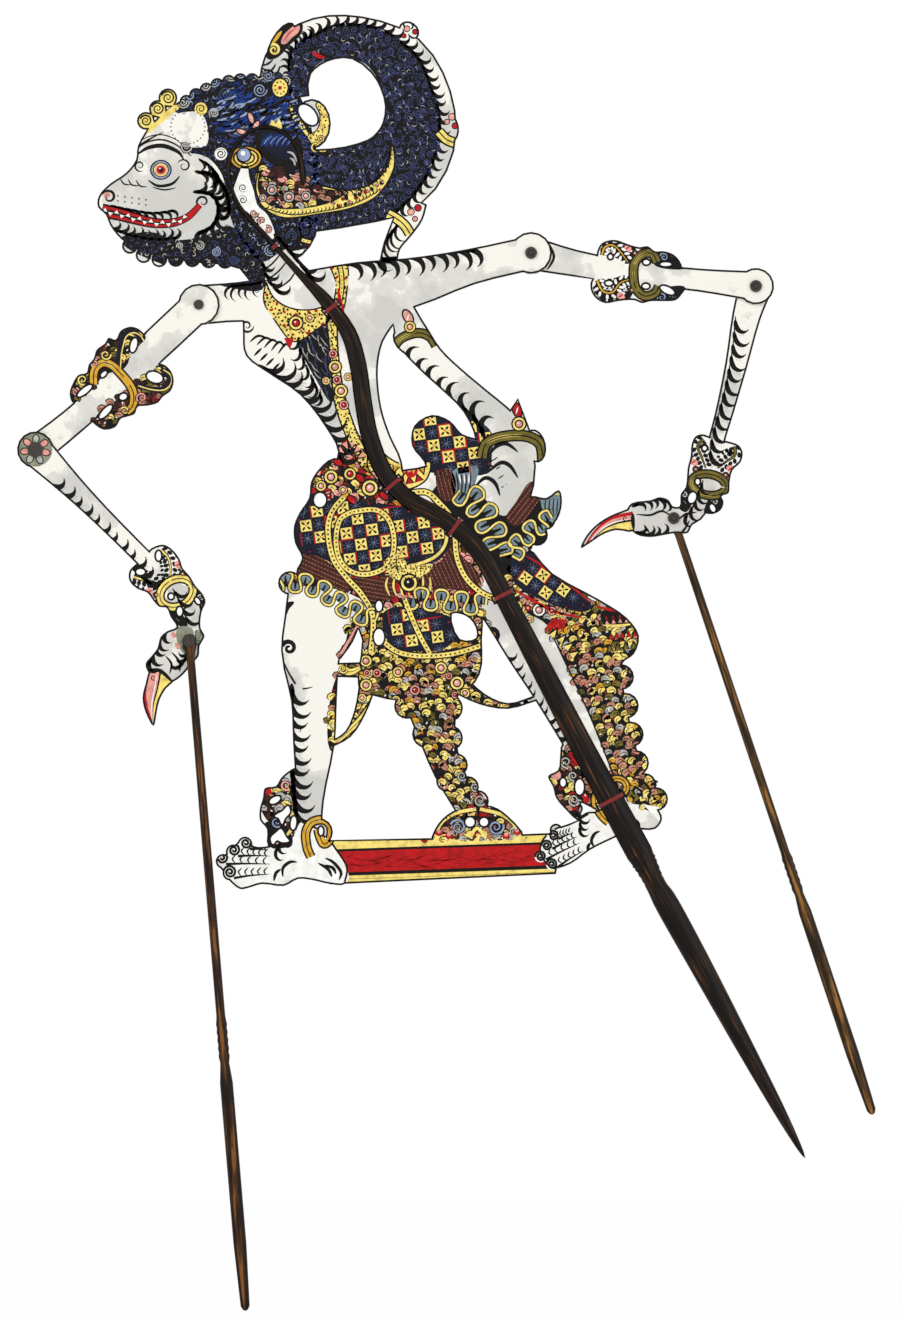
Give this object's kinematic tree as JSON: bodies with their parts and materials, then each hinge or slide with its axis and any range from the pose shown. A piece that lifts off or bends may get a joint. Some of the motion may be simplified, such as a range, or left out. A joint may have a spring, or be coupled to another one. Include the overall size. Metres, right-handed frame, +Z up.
{
  "type": "shadow puppet",
  "caption": "Flat painted and perforated hide shadow puppet with hinged arms, a split horn main rod bound on with thread and two loose hand rods",
  "frame": {"origin": "the pointed tip of the main rod, where the puppet is planted", "axes": "+Z up, +X to the figure's right-hand side of the picture, the painted front faces -Y"},
  "size_m": [0.515, 0.0238, 0.776],
  "materials": {
    "painted_hide": "painted rawhide, satin, with black linework",
    "dark_horn": "polished dark horn with brown streaks",
    "hand_rod_horn": "polished brown horn or wood",
    "bone": "dark horn pin",
    "thread": "red cotton thread"
  },
  "bodies": {
    "root": {"body_plate": "painted_hide", "main_rod": "dark_horn", "rod_tie_1": "thread", "rod_tie_2": "thread", "rod_tie_3": "thread", "rod_tie_4": "thread", "rod_tie_5": "thread", "rod_tie_6": "thread"},
    "front_upper_arm": {"front_upper_arm": "painted_hide", "front_shoulder_pin": "bone", "front_shoulder_collar": "bone"},
    "front_forearm": {"front_forearm": "painted_hide", "front_elbow_pin": "bone", "front_elbow_collar": "bone"},
    "front_hand_rod": {"front_hand_rod": "hand_rod_horn", "front_hand_pin": "bone", "front_hand_collar": "bone"},
    "back_upper_arm": {"back_upper_arm": "painted_hide", "back_shoulder_pin": "bone", "back_shoulder_collar": "bone"},
    "back_forearm": {"back_forearm": "painted_hide", "back_elbow_pin": "bone", "back_elbow_collar": "bone"},
    "back_hand_rod": {"back_hand_rod": "hand_rod_horn", "back_hand_pin": "bone", "back_hand_collar": "bone"}
  },
  "joints": [
    {"name": "front_shoulder", "type": "hinge", "parent": "root", "child": "front_upper_arm", "pos_m": [-0.36332, 0, 0.51141], "axis": [0, 1, 0], "range_deg": [-45, 75]},
    {"name": "front_elbow", "type": "hinge", "parent": "front_upper_arm", "child": "front_forearm", "pos_m": [-0.46105, 0, 0.42447], "axis": [0, 1, 0], "range_deg": [-60, 40]},
    {"name": "front_hand", "type": "hinge", "parent": "front_forearm", "child": "front_hand_rod", "pos_m": [-0.36872, 0, 0.30996], "axis": [0, 1, 0], "range_deg": [-60, 60]},
    {"name": "back_shoulder", "type": "hinge", "parent": "root", "child": "back_upper_arm", "pos_m": [-0.16427, 0, 0.54258], "axis": [0, 1, 0], "range_deg": [-60, 25]},
    {"name": "back_elbow", "type": "hinge", "parent": "back_upper_arm", "child": "back_forearm", "pos_m": [-0.02942, 0, 0.5228], "axis": [0, 1, 0], "range_deg": [-60, 45]},
    {"name": "back_hand", "type": "hinge", "parent": "back_forearm", "child": "back_hand_rod", "pos_m": [-0.07857, 0, 0.38373], "axis": [0, 1, 0], "range_deg": [-60, 60]}
  ]
}
